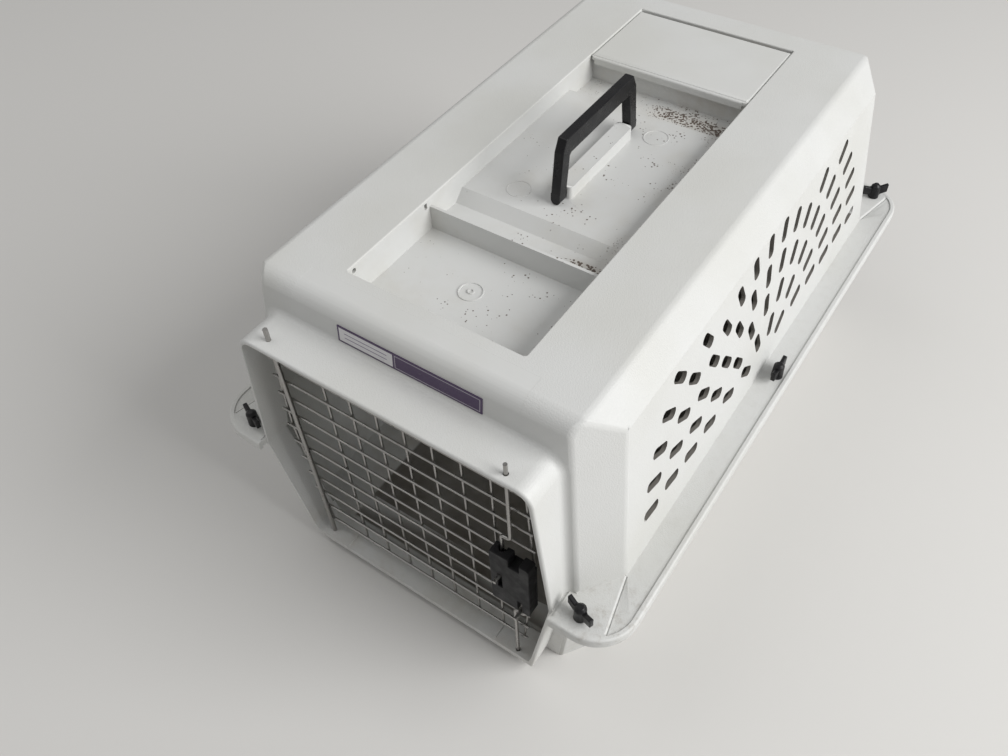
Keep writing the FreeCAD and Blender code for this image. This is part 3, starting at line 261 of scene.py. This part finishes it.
def flange_soil(skin, base):
    """Grey-brown dust that lies on the flange, thickest at the front corner on the right."""
    dust_brown = (0.25, 0.21, 0.16, 1)
    dust_ends, dust_full = 0.1475, 0.1455
    corner_left, corner_right = 0.12, 0.17
    corner_back, corner_front = -0.2, -0.27
    x, y, z = (skin.along(axis) for axis in "XYZ")
    ledge = skin.ramp(z, dust_ends, dust_full)
    corner = skin.math("MULTIPLY", skin.ramp(x, corner_left, corner_right),
                       skin.ramp(y, corner_back, corner_front))
    share = skin.math("ADD", 0.06, skin.math("MULTIPLY", corner, 0.3))
    dust = skin.math("MULTIPLY", skin.ramp(skin.noise(130.0, 8.0, 0.75), 0.46, 0.68), share)
    return skin.blend(skin.math("MULTIPLY", ledge, dust), base, dust_brown)


def soil_heaps(skin, x, y):
    """Share of soil: in the trough, on the ledge and along the right wall, with a pile and a drift."""
    trough_front, trough_back = 0.075, 0.1
    ledge_front, ledge_back = -0.1115, -0.1
    wall_near, wall_foot = 0.045, 0.073
    trough = skin.math("MULTIPLY", skin.ramp(y, trough_front, trough_back),
                       skin.ramp(x, CLEAN_SIDE, DIRTY_SIDE, 0.25, 1.0))
    ledge = skin.math("MULTIPLY", band(skin, y, ledge_front, ledge_back, 0.003),
                      skin.ramp(x, 0.0, wall_near, 0.12, 1.3))
    right = skin.math("MULTIPLY", skin.ramp(x, wall_near, wall_foot),
                      skin.ramp(y, -0.12, ledge_back, 0.0, 0.5))
    place = skin.math("MAXIMUM", skin.math("MAXIMUM", trough, ledge), right)
    heap = skin.math("MULTIPLY", place, skin.ramp(skin.noise(45.0, 5.0, 0.6), 0.38, 0.72))
    pile = skin.math("MULTIPLY", band(skin, x, 0.046, 0.07, 0.022), band(skin, y, -0.103, -0.097, 0.006))
    drift = skin.math("MULTIPLY", band(skin, x, 0.01, 0.07, 0.03), band(skin, y, 0.1, 0.11, 0.008))
    return skin.math("MAXIMUM", heap, skin.math("MULTIPLY", skin.math("MAXIMUM", pile, drift), 0.8))


def recess_plastic():
    """Smooth plastic of the recess, with a film of dust, heaps of soil and thrown specks."""
    dust_film = (0.47, 0.44, 0.37, 1)
    stain_brown = (0.40, 0.34, 0.26, 1)
    grit_brown = (0.075, 0.048, 0.032, 1)
    grit_height = 0.0004
    skin = Finish("smooth_recess", SHELL_WHITE, 0.4)
    dust = skin.ramp(skin.noise(18.0, 6.0, 0.6), 0.45, 0.75)
    base = skin.blend(skin.math("MULTIPLY", dust, 0.28), SHELL_WHITE, dust_film)
    y = skin.along("Y")
    x = skin.along("X")
    heap = soil_heaps(skin, x, y)
    stain = skin.blend(skin.math("MULTIPLY", heap, 0.3), base, stain_brown)
    cover = skin.math("MULTIPLY", heap, 0.62)
    crumbs = skin.ramp(skin.math("SUBTRACT", cover, skin.cells(480.0)), -0.06, 0.02)
    thrown = skin.ramp(skin.noise(60.0, 3.0, 0.6), 0.44, 0.7, 0.0, 0.29)
    thrown = skin.math("MULTIPLY", thrown, skin.ramp(x, CLEAN_SIDE, DIRTY_SIDE, 0.55, 1.0))
    specks = skin.ramp(skin.math("SUBTRACT", thrown, skin.cells(310.0)), -0.02, 0.02)
    grit = skin.math("MULTIPLY", skin.math("MAXIMUM", crumbs, specks), skin.level())
    skin.colour(skin.blend(skin.math("MULTIPLY", grit, 0.9), stain, grit_brown))
    skin.gloss(skin.math("ADD", 0.36, skin.math("MULTIPLY", heap, 0.4)))
    ripple = skin.math("MULTIPLY", skin.noise(260.0, 2.0), 0.15)
    skin.bump(skin.math("ADD", grit, ripple), grit_height, 0.5)
    return skin.material


def middle_of(edge):
    """Middle of an edge."""
    return (edge.verts[0].co + edge.verts[1].co) / 2


def over_recess(middle):
    """Whether a point lies over the recess or its rim."""
    return abs(middle.x) < RIM_HALF_WIDTH and abs(middle.y) < RIM_HALF_LENGTH


def roof_edge(edge):
    """Outer edge of the roof and of the bevels round it."""
    long_edge, bevel_foot, bevel_y = 0.03, 0.29, 0.2
    corner_x, corner_y, corner_foot = 0.128, 0.23, 0.2915
    middle = middle_of(edge)
    if over_recess(middle):
        return False
    crown = middle.z > ROOF_HEIGHT - 0.001
    front_or_rear = middle.z > bevel_foot and abs(middle.y) > bevel_y
    corner = middle.z > corner_foot and abs(middle.y) > corner_y and abs(middle.x) > corner_x
    return edge.calc_length() > long_edge and (crown or front_or_rear) or corner


def wall_corner(edge):
    """Upright outer corner of the walls."""
    long_edge, hood_x, hood_lean, hood_height = 0.1, 0.128, 0.12, 0.293
    middle = middle_of(edge)
    run = edge.verts[1].co - edge.verts[0].co
    upright = run.length > long_edge and abs(run.z) > 0.9 * run.length
    return upright and abs(middle.x) > hood_x + hood_lean * (hood_height - middle.z)


def recess_rim(edge):
    """Rim of the recess in the roof."""
    middle = middle_of(edge)
    return over_recess(middle) and middle.z > ROOF_HEIGHT - 0.0005


def flange_rim(edge):
    """Free rim of either half's flange, on the side away from the other half."""
    wall_x, wall_y = 0.165, 0.27
    middle = middle_of(edge)
    level = abs(edge.verts[0].co.z - edge.verts[1].co.z) < 10 * SAME_POINT
    outer = abs(middle.x) > wall_x or abs(middle.y) > wall_y
    upper_rim = 0.1405 < middle.z < 0.1425
    lower_rim = 0.134 < middle.z < 0.1365
    away = any(face.normal.x * middle.x + face.normal.y * middle.y > 0.05 for face in edge.link_faces)
    return level and outer and away and (upper_rim or lower_rim)


def hood_front(edge):
    """Outer edge of the hood's front, but not at the parting line."""
    hood_middle, hood_face = 0.14, -0.277
    middle = middle_of(edge)
    away = Vector((middle.x, 0, middle.z - hood_middle))
    outer = any(face.normal.dot(away) > 0.02 and abs(face.normal.y) < 0.5 for face in edge.link_faces)
    run = edge.verts[1].co - edge.verts[0].co
    across = abs(run.y) < 0.1 * run.length
    at_parting = 0.13 < middle.z < 0.145
    return outer and across and middle.y < hood_face and not at_parting


top_half = moulded_copy("top_shell", "upper_half", (0.004, 5, roof_edge), (0.0035, 4, wall_corner),
                        (0.0013, 6, recess_rim), (0.0018, 6, flange_rim), (0.002, 6, hood_front))
# Painted shade: the vents' narrow walls are coloured dark grey so that the holes read dark.
VENT_PAINTED_SHADE = (0.17, 0.16, 0.145, 1)
VENT_WALL_X = 0.138
VENT_HALF_SPAN = 0.2
VENT_LOW, VENT_HIGH = 0.15, 0.2835
RIM_ROUND = 0.0012
pebbled = pebbled_plastic("pebbled_shell", SHELL_WHITE, SHELL_PEBBLE, label_panel, flange_soil)
recess = recess_plastic()
top_half.data.materials.append(pebbled)
top_half.data.materials.append(recess)
top_half.data.materials.append(pebbled_plastic("vent_walls_painted_shade", VENT_PAINTED_SHADE, 0.1))
for face in top_half.data.polygons:
    middle = face.center
    inside = abs(middle.x) < RECESS_HALF_WIDTH and abs(middle.y) < RECESS_HALF_LENGTH
    if inside and RECESS_FLOOR < middle.z < ROOF_HEIGHT - RIM_ROUND:
        face.material_index = 1
    vented = abs(middle.x) > VENT_WALL_X and abs(middle.y) < VENT_HALF_SPAN
    sideways = abs(face.normal.x) < 0.6
    if vented and sideways and VENT_LOW < middle.z < VENT_HIGH:
        face.material_index = 2
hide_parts("top_shell")
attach(top_half, "shell")


# Rounded inner corner where the hood springs from the front face, round its sides and its top.
# It is part of the same moulding, and lies on the two faces that it joins.
PARTING_HEIGHT = 0.138
FACE_FOOT, FACE_LEAN, FACE_RISE = -0.264, 0.018, 0.166
HOOD_HALF_WIDTH = 0.14
HOOD_SIDE_RISE = 9
HOOD_SIDE_TURN = 6.34
HOOD_CORNER_RADIUS = 0.014
HOOD_CORNER_CENTRE = Vector((0.11247, 0.259))
COVE_RADIUS, COVE_LESS_ON_TOP = 0.006, 0.0015


def face_front(height):
    """How far forward the leaning front face is at a height."""
    return FACE_FOOT + FACE_LEAN * (height - PARTING_HEIGHT) / FACE_RISE


def hood_cove():
    """Concave strip along the hood's outline."""
    corner_steps, arc_steps, sunk, buried = 8, 6, 0.00003, 0.0003
    side = Vector((0.9939, 0.1104))
    stations = []
    for height in (0.1405, 0.18, 0.22):
        half_width = HOOD_HALF_WIDTH - (height - PARTING_HEIGHT) / HOOD_SIDE_RISE
        stations.append((Vector((half_width, height)), side))
    for step in range(corner_steps + 1):
        angle = radians(HOOD_SIDE_TURN + step * (90 - HOOD_SIDE_TURN) / corner_steps)
        away = Vector((cos(angle), sin(angle)))
        stations.append((HOOD_CORNER_CENTRE + HOOD_CORNER_RADIUS * away, away))
    for place, away in reversed(stations[:]):
        stations.append((Vector((-place.x, place.y)), Vector((-away.x, away.y))))
    work = bmesh.new()
    loops = []
    for place, away in stations:
        radius = COVE_RADIUS - COVE_LESS_ON_TOP * abs(away.y)
        profile = [(-buried, -buried)]
        for step in range(arc_steps + 1):
            turn = radians(90 * step / arc_steps)
            profile.append((radius * (1 - sin(turn)) - sunk, radius * (1 - cos(turn)) - sunk))
        row = []
        for out, forward in profile:
            point = place + out * away
            row.append(work.verts.new((point.x, face_front(point.y) - forward, point.y)))
        loops.append([work.edges.new((row[index - 1], row[index])) for index in range(len(row))])
    for one, two in zip(loops, loops[1:]):
        bmesh.ops.bridge_loops(work, edges=one + two)
    bmesh.ops.holes_fill(work, edges=loops[0] + loops[-1])
    bmesh.ops.recalc_face_normals(work, faces=work.faces)
    return settle(work, "hood_root")


cove = hood_cove()
cove.data.materials.append(pebbled)
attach(cove, "shell")


# Marks of the mould in the recess: the gate's double ring on the front compartment's floor, and
# the round prints of ejector pins on the handle's plateau. All are low rings of the same plastic.
COMPARTMENT_FLOOR = 0.276
PLATEAU_HEIGHT = 0.288
GATE_X, GATE_Y = -0.0073, -0.1616
RING_SIDES = 48


def mould_ring(name, x, y, floor, radius, width, rise):
    """Low ring with sloping sides that stands on a floor."""
    slope = width / 4
    inner = radius - width
    section = [(radius, -rise / 2), (radius - slope, rise), (inner + slope, rise), (inner, -rise / 2)]
    work = bmesh.new()
    row = [work.verts.new((x + reach, y, floor + height)) for reach, height in section]
    loop = [work.edges.new((row[index - 1], row[index])) for index in range(len(row))]
    bmesh.ops.spin(work, geom=row + loop, cent=(x, y, floor), axis=(0, 0, 1), angle=radians(360),
                   steps=RING_SIDES, use_merge=True, use_duplicate=False)
    bmesh.ops.remove_doubles(work, verts=work.verts, dist=SAME_POINT / 10)
    bmesh.ops.recalc_face_normals(work, faces=work.faces)
    piece = settle(work, name)
    piece.data.materials.append(recess)
    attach(piece, "shell")


mould_ring("gate_ring_outer", GATE_X, GATE_Y, COMPARTMENT_FLOOR, radius=0.0100, width=0.0016, rise=0.0008)
mould_ring("gate_ring_inner", GATE_X, GATE_Y, COMPARTMENT_FLOOR, radius=0.0030, width=0.0016, rise=0.0011)
mould_ring("ejector_print_left", -0.035, -0.0571, PLATEAU_HEIGHT, radius=0.0103, width=0.0010, rise=0.0004)
mould_ring("ejector_print_right", 0.0241, 0.0577, PLATEAU_HEIGHT, radius=0.0108, width=0.0010, rise=0.0004)


# Lower half of the kennel: the floor on four feet, the walls and the lower part of the door hood,
# moulded in the same pebbled plastic and bolted under the upper half.
def floor_shade_and_soil(skin, base):
    """Painted shade on the cabin's floor, mixed with the brown of soil, up to the fold of the left wall."""
    shade_and_soil_brown = (0.085, 0.07, 0.052, 1)
    wall_fold, right_wall, fold_blur = -0.101, 0.13, 0.003
    sill_back, soil_start = -0.2485, -0.2465
    floor_low, floor_high, floor_blur = 0.0065, 0.012, 0.001
    x, y, z = (skin.along(axis) for axis in "XYZ")
    inside = band(skin, x, wall_fold, right_wall, fold_blur)
    inside = skin.math("MULTIPLY", inside, skin.ramp(y, sill_back, soil_start))
    inside = skin.math("MULTIPLY", inside, band(skin, z, floor_low, floor_high, floor_blur))
    inside = skin.math("MULTIPLY", inside, skin.level())
    tone = skin.ramp(skin.noise(16.0, 6.0, 0.65), 0.3, 0.75, 0.72, 0.96)
    return skin.blend(skin.math("MULTIPLY", inside, tone), base, shade_and_soil_brown)


def lower_corner(edge):
    """Long outer corner of the lower walls."""
    floor_top, flange_under, hood_back = 0.01, 0.13, -0.262
    middle = middle_of(edge)
    on_wall = floor_top < middle.z < flange_under and middle.y > hood_back
    return edge.calc_length() > 0.035 and on_wall


bottom_half = moulded_copy("bottom_shell", "lower_half", (0.003, 4, lower_corner), (0.0012, 6, flange_rim),
                           (0.002, 6, hood_front))
# The lower half's cabin floor carries painted shade mixed with soil.
bottom_half.data.materials.append(
    pebbled_plastic("pebbled_base", SHELL_WHITE, SHELL_PEBBLE, None, floor_shade_and_soil))
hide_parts("bottom_shell")
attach(bottom_half, "shell")


# Lid of the rear compartment: a smooth plate that lies in the recess, flush with the roof.
# It turns on a barrel along its rear edge and has a finger lip in front.
def lid_rim(edge):
    """Upper edges of the lid."""
    return edge.calc_length() > 0.002 and middle_of(edge).z > ROOF_HEIGHT - 0.002


lid = moulded_copy("rear_lid", "compartment_lid", (0.0018, 6, lid_rim))
smooth_white = pebbled_plastic("lid_plastic", SHELL_WHITE, 0.1)
lid.data.materials.append(smooth_white)
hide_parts("rear_lid")
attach(lid, "lid")


def low_bar(name, low, high, radius):
    """Low bar of the shell's plastic with rounded upper edges, that stands on a face."""
    work = bmesh.new()
    bmesh.ops.create_cube(work, size=1.0)
    for corner in work.verts:
        for axis in range(3):
            corner.co[axis] = low[axis] if corner.co[axis] < 0 else high[axis]
    upper = [edge for edge in work.edges if middle_of(edge).z > high[2] - SAME_POINT]
    bmesh.ops.bevel(work, geom=upper, offset=radius, offset_type="OFFSET", segments=4, profile=0.5,
                    affect="EDGES", clamp_overlap=True, material=-1)
    piece = settle(work, name)
    piece.data.materials.append(smooth_white)
    return piece


LID_LOW, LID_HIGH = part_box("rear_lid")
BEAD_INSET = 0.004
BEAD_FRONT, BEAD_BACK = LID_LOW.y + 0.0022, LID_LOW.y + 0.0066
BEAD_FOOT, BEAD_TOP = LID_HIGH.z - 0.0004, LID_HIGH.z + 0.0008
lip = low_bar("lid_front_bead", (LID_LOW.x + BEAD_INSET, BEAD_FRONT, BEAD_FOOT),
              (LID_HIGH.x - BEAD_INSET, BEAD_BACK, BEAD_TOP), radius=0.0011)
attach(lip, "lid")


# Sill ridges: two narrow ribs across the top of the door's sill, one towards each end.
# They are moulded with the lower half, in the same plastic.
RIDGE_X = 0.08
RIDGE_HALF_WIDTH = 0.0009
RIDGE_FRONT, RIDGE_BACK = -0.279, -0.263
RIDGE_FOOT, RIDGE_TOP = 0.0172, 0.0189
for side, name in ((-1, "sill_ridge_left"), (1, "sill_ridge_right")):
    ridge = low_bar(name, (side * RIDGE_X - RIDGE_HALF_WIDTH, RIDGE_FRONT, RIDGE_FOOT),
                    (side * RIDGE_X + RIDGE_HALF_WIDTH, RIDGE_BACK, RIDGE_TOP), radius=0.0006)
    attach(ridge, "shell")


# Carry handle: a bail in satin black plastic, snapped over the pedestal by a pin in each foot.
# Its edges are rounded for the hand, and its skin is dusty from storage.
def black_plastic(name, roughness, dust_share):
    """Black moulded plastic with a fine skin and a film of dust."""
    black = (0.007, 0.007, 0.008, 1)
    dust_grey = (0.16, 0.15, 0.14, 1)
    skin = Finish(name, black, roughness)
    dust = skin.ramp(skin.noise(70.0, 6.0, 0.65), 0.45, 0.8)
    skin.colour(skin.blend(skin.math("MULTIPLY", dust, dust_share), black, dust_grey))
    skin.gloss(skin.ramp(skin.noise(110.0, 4.0), 0.3, 0.7, roughness - 0.08, roughness + 0.1))
    skin.bump(skin.noise(1400.0, 2.0), 0.0002, 0.3)
    skin.shader.inputs["Specular IOR Level"].default_value = 0.3
    return skin.material


def bail_side(edge):
    """Edge of the handle's flat sides, above the pins."""
    side_x, pin_top = 0.0039, 0.2988
    middle = middle_of(edge)
    return abs(middle.x) > side_x and middle.z > pin_top


handle = moulded_copy("carry_handle", "bail_handle", (0.0011, 6, bail_side))
handle.data.materials.append(black_plastic("handle_black", 0.29, 0.05))
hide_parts("carry_handle")
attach(handle, "handle")


# Wire door: bright zinc-plated steel wires, spot-welded where they cross and welded to a thick
# hinge rod on the left. The plating has dulled a little and shows small brown spots.
def plated_steel(name, roughness):
    """Zinc-plated wire with a slightly uneven skin and small spots of tarnish."""
    plating = (0.38, 0.37, 0.355, 1)
    tarnish = (0.20, 0.16, 0.125, 1)
    skin = Finish(name, plating, roughness, 1.0)
    spots = skin.ramp(skin.noise(160.0, 5.0, 0.7), 0.58, 0.75)
    skin.colour(skin.blend(skin.math("MULTIPLY", spots, 0.5), plating, tarnish))
    skin.gloss(skin.ramp(skin.noise(90.0, 3.0), 0.3, 0.7, roughness - 0.06, roughness + 0.08))
    skin.bump(skin.noise(350.0, 2.0), 0.00005, 0.15)
    return skin.material


def coat(node, finish):
    """Give a CAD node a finish in place of its plain one."""
    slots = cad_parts[node].data.materials
    slots.clear()
    slots.append(finish)


plated = plated_steel("plated_wire", 0.3)
for node in ("door_horizontal_wires", "door_vertical_wires", "door_side_wires", "door_hinge_rod",
             "latch_upper_rod", "latch_lower_rod"):
    coat(node, plated)


# Squeeze latch: a black housing clipped to the door's wires by its back plate. Two rods with bent
# finger ends run in its channels, and a spring behind each finger pushes its rod out.
def case_edge(edge):
    """Long edge of the housing or of its back plate."""
    return edge.calc_length() > 0.003


latch_black = black_plastic("latch_black", 0.55, 0.03)
housing = moulded_copy("latch_housing", "latch_case", (0.0008, 5, case_edge))
housing.data.materials.append(latch_black)
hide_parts("latch_housing")
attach(housing, "door")
back_plate = moulded_copy("latch_back_plate", "latch_back", (0.0004, 5, case_edge))
back_plate.data.materials.append(latch_black)
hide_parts("latch_back_plate")
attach(back_plate, "door")
spring_steel = plated_steel("spring_steel", 0.4)
for node in ("latch_upper_spring", "latch_lower_spring"):
    coat(node, spring_steel)


# Flange bolts and wing nuts: six of each in black plastic, three along each side. A bolt's flat
# head sits under the lower flange and its nut is turned down by hand on the upper one.
def wing_edge(edge):
    """Edges of a nut's wings."""
    return edge.calc_length() > 0.0025


nut_black = black_plastic("nut_black", 0.38, 0.12)
for place in ("front_left", "front_right", "middle_left", "middle_right", "rear_left", "rear_right"):
    nut = moulded_copy(f"wing_nut_{place}", f"hand_nut_{place}", (0.0012, 6, wing_edge))
    nut.data.materials.append(nut_black)
    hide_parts(f"wing_nut_{place}")
    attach(nut, f"nut_{place}")
    coat(f"flange_bolt_{place}", nut_black)


# Name plate on the front face: a printed plastic film with a plum border, a pale panel to write
# on with ruled lines, and a plum end block. It is stuck to the smooth band above the hood.
LABEL_LOW, LABEL_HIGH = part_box("front_label")


def printed_film():
    """Film printed in plum and white, with two ruled lines on its pale panel."""
    plum = (0.055, 0.028, 0.085, 1)
    paper = (0.66, 0.65, 0.66, 1)
    keyline_pale = (0.45, 0.42, 0.47, 1)
    rule_plum = (0.10, 0.06, 0.16, 1)
    worn_grey = (0.45, 0.43, 0.44, 1)
    border, blur, key_out, key_in, key_blur = 0.0012, 0.0004, 0.0016, 0.0021, 0.0002
    rule_left, rule_right, rule_blur = 0.006, 0.005, 0.0005
    panel_share = 0.40
    skin = Finish("label_film", (0.06, 0.03, 0.10, 1), 0.3)
    x = skin.along("X")
    z = skin.along("Z")
    split = LABEL_LOW.x + panel_share * (LABEL_HIGH.x - LABEL_LOW.x)
    left, low, high = LABEL_LOW.x + border, LABEL_LOW.z + border, LABEL_HIGH.z - border
    panel = skin.math("MULTIPLY", skin.ramp(x, left, left + blur), skin.ramp(x, split, split - blur))
    panel = skin.math("MULTIPLY", panel, skin.ramp(z, low, low + blur))
    panel = skin.math("MULTIPLY", panel, skin.ramp(z, high, high - blur))
    block, core = (skin.math("MULTIPLY", band(skin, x, split + inset, LABEL_HIGH.x - inset, key_blur),
                             band(skin, z, LABEL_LOW.z + inset, LABEL_HIGH.z - inset, key_blur))
                   for inset in (key_out, key_in))
    ink = skin.blend(panel, plum, paper)
    ink = skin.blend(skin.math("SUBTRACT", block, core), ink, keyline_pale)
    for share in (0.38, 0.64):
        line = LABEL_LOW.z + share * (LABEL_HIGH.z - LABEL_LOW.z)
        rule = band(skin, z, line - key_blur, line + key_blur, key_blur)
        start, end = LABEL_LOW.x + rule_left, split - rule_right
        inner = skin.math("MULTIPLY", skin.ramp(x, start, start + rule_blur),
                          skin.ramp(x, end, end - rule_blur))
        ink = skin.blend(skin.math("MULTIPLY", rule, inner), ink, rule_plum)
    worn = skin.ramp(skin.noise(240.0, 7.0, 0.7), 0.62, 0.75)
    skin.colour(skin.blend(skin.math("MULTIPLY", worn, 0.35), ink, worn_grey))
    skin.gloss(skin.ramp(skin.noise(90.0, 4.0), 0.3, 0.7, 0.25, 0.4))
    return skin.material


coat("front_label", printed_film())


# Studio: a pale floor that carries the kennel's shadow, one large soft lamp from the right rear,
# a weaker one from the left, and an even sky. The camera has the photograph's view.
FLOOR_SIZE = 8.0
FLOOR_DROP = -0.0003
FLOOR_PALE = (0.62, 0.61, 0.59, 1)
SKY_STRENGTH = 0.34
LAMP_TARGET = (0, 0, 0.15)
floor_work = bmesh.new()
bmesh.ops.create_grid(floor_work, x_segments=1, y_segments=1, size=FLOOR_SIZE)
bmesh.ops.translate(floor_work, verts=floor_work.verts, vec=(0, 0, FLOOR_DROP))
floor = settle(floor_work, "studio_floor")
floor_finish = Finish("pale_floor", FLOOR_PALE, 0.8)
floor.data.materials.append(floor_finish.material)


def soft_lamp(name, place, size, power):
    """Square area lamp that faces the kennel."""
    lamp = bpy.data.lights.new(name, "AREA")
    lamp.size = size
    lamp.energy = power
    holder = bpy.data.objects.new(name, lamp)
    holder.location = place
    holder.rotation_euler = (Vector(LAMP_TARGET) - Vector(place)).to_track_quat("-Z", "Y").to_euler()
    bpy.context.scene.collection.objects.link(holder)


soft_lamp("window_light", (2.2, 0.35, 1.7), size=1.8, power=78.0)
soft_lamp("room_light", (-1.4, -0.6, 2.2), size=2.2, power=14.0)
world = bpy.data.worlds.new("studio_sky")
world.use_nodes = True
world.node_tree.nodes["Background"].inputs["Color"].default_value = (1.0, 1.0, 1.0, 1)
world.node_tree.nodes["Background"].inputs["Strength"].default_value = SKY_STRENGTH
bpy.context.scene.world = world

VIEW_PLACE = (0.2942, -0.5256, 0.7297)
VIEW_TURN = (40.520, 2.383, 34.441)
lens = bpy.data.cameras.new("photo_camera")
lens.sensor_width = 36.0
lens.lens = 32.204
viewer = bpy.data.objects.new("photo_camera", lens)
viewer.location = VIEW_PLACE
viewer.rotation_euler = [radians(angle) for angle in VIEW_TURN]
bpy.context.scene.collection.objects.link(viewer)
bpy.context.scene.camera = viewer
bpy.context.scene.view_settings.view_transform = "Standard"
